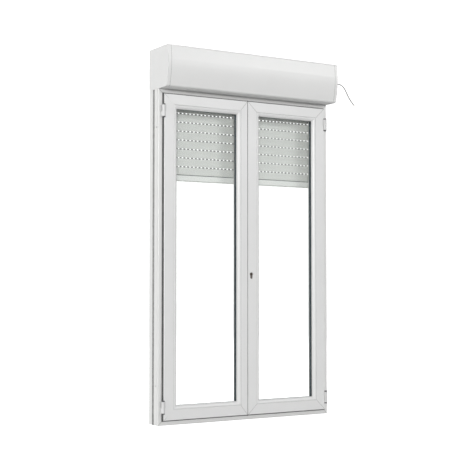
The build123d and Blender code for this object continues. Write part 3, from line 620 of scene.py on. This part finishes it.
def make_bar_fittings():
    """The bar's own neck into the lowest slat and two stops, each with a round pad on its face."""
    low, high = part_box("bottom_bar")
    bm = bmesh.new()
    add_block(bm, (low.x + 0.003, CURTAIN_Y - 0.0008, high.z - 0.001),
              (high.x - 0.003, CURTAIN_Y + 0.0008, high.z + 0.0036))
    neck = link("bar_neck", finish_mesh("bar_neck", bm), LOOKS["gasket"])
    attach(neck, "curtain")
    for name, x in (("left", low.x * 0.72), ("right", high.x * 0.72)):
        bm = bmesh.new()
        add_block(bm, (x - 0.02, high.y, low.z + 0.004), (x + 0.02, high.y + 0.008, low.z + 0.022))
        add_lathe(bm, [(0, 0.0035), (0.0018, 0.0035), (0.0022, 0.003)],
                  (x, high.y + 0.0078, low.z + 0.013), (0, 1, 0), 20)
        stop = bevel(link(f"bar_stop_{name}", finish_mesh("stop", bm), LOOKS["nylon"], 35), 0.0015)
        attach(stop, "curtain")


BRUSH_STEP = 0.0025


def make_brushes():
    """Brush strips in the guide slots: a woven backing with tufts that reach for the curtain."""
    low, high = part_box("guide_brushes")
    slat_low, slat_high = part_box("bottom_bar")
    for side, sign in (("left", -1), ("right", 1)):
        bm = bmesh.new()
        edge, inner = sorted((abs(high.x), abs(high.x) - 0.007))[::-1]
        for wall, reach in ((low.y, slat_low.y - 0.0004), (high.y, slat_high.y + 0.0004)):
            toward = 1 if reach > wall else -1
            add_block(bm, (sign * inner, min(wall, wall + toward * 0.0006), low.z),
                      (sign * edge, max(wall, wall + toward * 0.0006), high.z))
            for index in range(int((high.z - low.z) / BRUSH_STEP)):
                z = low.z + (index + 0.5) * BRUSH_STEP
                lean = 0.0003 * math.sin(index * 2.4)
                near, far = wall + toward * 0.0006, reach
                base = [(sign * (inner + 0.0006), near, z - 0.0010),
                        (sign * (edge - 0.0006), near, z - 0.0010),
                        (sign * (edge - 0.0006), near, z + 0.0010),
                        (sign * (inner + 0.0006), near, z + 0.0010)]
                tip = [(sign * (inner + 0.0010), far, z - 0.0006 + lean),
                       (sign * (edge - 0.0010), far, z - 0.0006 + lean),
                       (sign * (edge - 0.0010), far, z + 0.0006 + lean),
                       (sign * (inner + 0.0010), far, z + 0.0006 + lean)]
                a, b = [bm.verts.new(p) for p in base], [bm.verts.new(p) for p in tip]
                bm.faces.new(a)
                bm.faces.new(reversed(b))
                for i in range(4):
                    j = (i + 1) % 4
                    bm.faces.new((a[i], b[i], b[j], a[j]))
        brush = link(f"guide_brush_{side}", finish_mesh("brush", bm, 1e-7), LOOKS["pile"])
        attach(brush, "root")
        if sign < 0:
            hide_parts("guide_brushes")


# ---- Joints in the profiles ----------------------------------------------------------------------
SEAM = 0.0017                          # width of a weld seam or of the joint at an end cap
SEAM_THICK = 0.0004
SEAM_DEPTH = 0.0005                    # of a weld seam below the profile's face
FRAME_LIP = 0.030
BEAD_SHADE_WIDTH, BEAD_DEPTH = 0.0040, 0.0018  # width of the strip of painted shade in the valley beside a bead, and its depth


def add_seam(bm, start, end, y, width=SEAM):
    """A thin strip in the XZ plane from start to end, facing the room."""
    way = (end - start).normalized()
    across = Vector((-way.z, 0, way.x)) * width / 2
    outline = [start + across, end + across, end - across, start - across]
    add_prism(bm, [(p.x, y, p.z) for p in outline], (0, SEAM_THICK, 0))


def corner_pairs(low, high, insets):
    """Outer and inner corners of a mitred rectangle; insets are left, right, bottom, top."""
    left, right, bottom, top = insets
    return [(Vector((x, 0, z)), Vector((x + dx, 0, z + dz)))
            for x, dx in ((low.x, left), (high.x, -right))
            for z, dz in ((low.z, bottom), (high.z, -top))]


def make_weld_seams():
    """Cleaned weld seams in the mitre grooves, their grey partly painted shade, and a strip of painted
    shade in the valley between each sash and its beads.
    """
    low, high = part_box("frame_profiles")
    bm = bmesh.new()
    for outer, inner in corner_pairs(low, high, [FRAME_LIP] * 4):
        add_seam(bm, outer.lerp(inner, 0.06), inner, low.y + SEAM_DEPTH)
    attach(link("frame_seams", finish_mesh("seams", bm), LOOKS["seam"]), "root")
    for leaf in ("left", "right"):
        low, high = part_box(f"{leaf}_sash_profiles")
        bead_low, bead_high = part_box(f"{leaf}_glazing_beads")
        insets = [bead_low.x - low.x, high.x - bead_high.x, bead_low.z - low.z, high.z - bead_high.z]
        bm = bmesh.new()
        for outer, inner in corner_pairs(low, high, insets):
            add_seam(bm, outer.lerp(inner, 0.04), inner, low.y + SEAM_DEPTH)
        inner = [pair[1] for pair in corner_pairs(low, high, insets)]
        # Painted shade: a grey strip down in the valley where the bead meets the sash face.
        for a, b in ((0, 1), (2, 3), (0, 2), (1, 3)):
            add_seam(bm, inner[a], inner[b], low.y + BEAD_DEPTH, BEAD_SHADE_WIDTH)
        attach(link(f"{leaf}_leaf_seams", finish_mesh("seams", bm), LOOKS["seam"]), f"{leaf}_leaf")


# Points of the box's front in Y and Z, as in the part.
BAND_TOP, CREASE = (-0.118, 2.178), (-0.124, 2.1084)
BULGE, CURVE_FOOT = (-0.1185, 2.0292), (-0.105, 1.964)
TOP_RADIUS, FOOT_RADIUS = 0.012, 0.014
CAP_JOINT = 0.5813                     # from the middle to the joint between cover and end cap
JOINT_PROUD, JOINT_DEEP = 0.0002, 0.0006


def arc_points(a, b, c, steps):
    """Points from a to c on the circle through b."""
    a, b, c = Vector(a), Vector(b), Vector(c)
    d = 2 * (a.x * (b.y - c.y) + b.x * (c.y - a.y) + c.x * (a.y - b.y))
    centre = Vector((
        (a.dot(a) * (b.y - c.y) + b.dot(b) * (c.y - a.y) + c.dot(c) * (a.y - b.y)) / d,
        (a.dot(a) * (c.x - b.x) + b.dot(b) * (a.x - c.x) + c.dot(c) * (b.x - a.x)) / d))
    first = math.atan2(a.y - centre.y, a.x - centre.x) % (2 * math.pi)
    last = math.atan2(c.y - centre.y, c.x - centre.x) % (2 * math.pi)
    radius = (a - centre).length
    turns = [first + (last - first) * step / steps for step in range(steps + 1)]
    return [centre + Vector((math.cos(turn), math.sin(turn))) * radius for turn in turns]


def box_front():
    """The box's front outline from its top edge, over the crease, to its underside."""
    slant = math.sqrt(0.5)
    top_centre = Vector((BAND_TOP[0] + TOP_RADIUS, BAND_TOP[1]))
    foot_centre = Vector((CURVE_FOOT[0] + FOOT_RADIUS, CURVE_FOOT[1]))
    top = arc_points(top_centre + Vector((0, TOP_RADIUS)),
                     top_centre + Vector((-slant, slant)) * TOP_RADIUS, BAND_TOP, 5)
    foot = arc_points(CURVE_FOOT, foot_centre + Vector((-slant, -slant)) * FOOT_RADIUS,
                      foot_centre - Vector((0, FOOT_RADIUS)), 6)
    return top + arc_points(CREASE, BULGE, CURVE_FOOT, 16) + foot[1:]


def make_cap_joints():
    """The fine joint between the front cover and each end cap: a grey strip that is partly the joint's
    own tone and partly painted shade of its gap.
    """
    points = box_front()
    outer, inner = [], []
    for index, point in enumerate(points):
        way = (points[min(index + 1, len(points) - 1)] - points[max(index - 1, 0)]).normalized()
        outward = Vector((way.y, -way.x))
        outer.append(point + outward * JOINT_PROUD)
        inner.append(point - outward * JOINT_DEEP)
    for side, sign in (("left", -1), ("right", 1)):
        bm = bmesh.new()
        x = sign * CAP_JOINT - SEAM / 2
        for i in range(len(points) - 1):
            quad = [outer[i], outer[i + 1], inner[i + 1], inner[i]]
            add_prism(bm, [(x, p.x, p.y) for p in quad], (SEAM, 0, 0))
        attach(link(f"{side}_cap_joint", finish_mesh("joint", bm), LOOKS["seam"]), "root")


RIM_STEPS = 24
RIM_HEAD, RIM_LEG = 0.0087, 0.0052     # radii of the rim's hole round the cylinder's head and leg
HEAD_BELOW_TOP, FOOT_ABOVE_BOTTOM = 0.0085, 0.005
RIM_LOOPS = ((0.0, 0.0002), (0.0006, 0.0009), (0.0019, 0.0009), (0.0025, 0.0002))  # out, proud


def key_outline(centre_x, head_z, foot_z, head, leg):
    """Round head over a narrow leg, anticlockwise, with the same number of points at any size."""
    points = []
    waist = math.asin(leg / head)
    for step in range(RIM_STEPS + 1):
        turn = -math.pi / 2 + waist + (2 * math.pi - 2 * waist) * step / RIM_STEPS
        points.append((centre_x + head * math.cos(turn), head_z + head * math.sin(turn)))
    for step in range(RIM_STEPS // 2 + 1):
        turn = math.pi + math.pi * step / (RIM_STEPS // 2)
        points.append((centre_x + leg * math.cos(turn), foot_z + leg * math.sin(turn)))
    return points


def make_key_rim():
    """Thin bronze rim round the lock cylinder on the sash face."""
    low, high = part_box("profile_cylinder")
    x, face = (low.x + high.x) / 2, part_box("right_sash_profiles")[0].y
    head_z, foot_z = high.z - HEAD_BELOW_TOP, low.z + FOOT_ABOVE_BOTTOM
    loops = []
    for grow, proud in RIM_LOOPS:
        outline = key_outline(x, head_z, foot_z, RIM_HEAD + grow, RIM_LEG + grow)
        loops.append([(px, face - proud, pz) for px, pz in outline])
    bm = bmesh.new()
    rings = [[bm.verts.new(p) for p in loop] for loop in loops]
    rings.append(rings[0])
    total = len(loops[0])
    for near, far in zip(rings, rings[1:]):
        for i in range(total):
            j = (i + 1) % total
            bm.faces.new((near[i], near[j], far[j], far[i]))
    rim = link("key_rim", finish_mesh("rim", bm, 1e-7), LOOKS["bronze"], 50)
    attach(rim, "right_leaf")


make_curtain()
make_bar_fittings()
make_weld_seams()
make_cap_joints()
make_key_rim()
make_brushes()
dress_nodes()


# ---- Floor, light and background -----------------------------------------------------------------
CENTRE = Vector((0.0, 0.0, 1.05))


def make_floor():
    look = Look("floor").set(Specular_IOR_Level=0.2)
    look.colour(look.noise(1.5), (0.58, 0.58, 0.58), (0.62, 0.62, 0.62))
    look.roughness(look.noise(8.0), 0.8, 0.9)
    glow, path, mix = (look.node(f"ShaderNode{kind}") for kind in ("Emission", "LightPath", "AddShader"))
    seen = look.node("ShaderNodeMath")
    seen.operation = "MULTIPLY_ADD"
    seen.inputs[1].default_value, seen.inputs[2].default_value = 1.0, 0.03
    look.join(path.outputs["Is Camera Ray"], seen.inputs[0])
    look.join(seen.outputs["Value"], glow.inputs["Strength"])
    look.join(look.shader.outputs["BSDF"], mix.inputs[0])
    look.join(glow.outputs["Emission"], mix.inputs[1])
    look.join(mix.outputs["Shader"], look.output.inputs["Surface"])
    bm = bmesh.new()
    bmesh.ops.create_grid(bm, x_segments=1, y_segments=1, size=30)
    floor = link("floor", finish_mesh("floor", bm), look.material)
    floor.location.z = -0.0005


def make_light(name, azimuth, elevation, distance, size, power, colour=(1, 1, 1)):
    """A soft panel that faces the window. Azimuth 0 is straight in front and 90 on its right."""
    a, e = math.radians(azimuth), math.radians(elevation)
    way = Vector((math.sin(a) * math.cos(e), -math.cos(a) * math.cos(e), math.sin(e)))
    data = bpy.data.lights.new(name, "AREA")
    data.shape, data.size, data.size_y = "RECTANGLE", *size
    data.energy, data.color = power, colour
    light = bpy.data.objects.new(name, data)
    light.location = CENTRE + way * distance
    light.rotation_euler = (-way).to_track_quat("-Z", "Y").to_euler()
    bpy.context.scene.collection.objects.link(light)


def make_world():
    """White to the camera, a little dimmer as light, so that the white profiles keep their shape."""
    world = bpy.data.worlds.new("studio")
    world.use_nodes = True
    tree = world.node_tree
    tree.nodes.clear()
    output = tree.nodes.new("ShaderNodeOutputWorld")
    seen, light, mix, path = (tree.nodes.new(f"ShaderNode{kind}") for kind in
                              ("Background", "Background", "MixShader", "LightPath"))
    seen.inputs["Color"].default_value, seen.inputs["Strength"].default_value = (1, 1, 1, 1), 1.25
    light.inputs["Color"].default_value, light.inputs["Strength"].default_value = (0.97, 0.98, 1, 1), 0.22
    tree.links.new(path.outputs["Is Camera Ray"], mix.inputs["Fac"])
    tree.links.new(light.outputs["Background"], mix.inputs[1])
    tree.links.new(seen.outputs["Background"], mix.inputs[2])
    tree.links.new(mix.outputs["Shader"], output.inputs["Surface"])
    bpy.context.scene.world = world
    bpy.context.scene.view_settings.view_transform = "Standard"


make_floor()
make_world()
make_light("key", -31, 7.5, 20.0, (5.6, 1.7), 1980)
make_light("side", -92, 8, 7.5, (2.5, 1.6), 270)
make_light("gloss", 31.5, 22, 8.0, (3.0, 1.2), 125)
make_light("top", -10, 72, 5.0, (4.0, 2.0), 62)
make_light("back", 165, 25, 9.0, (3.0, 2.0), 420)
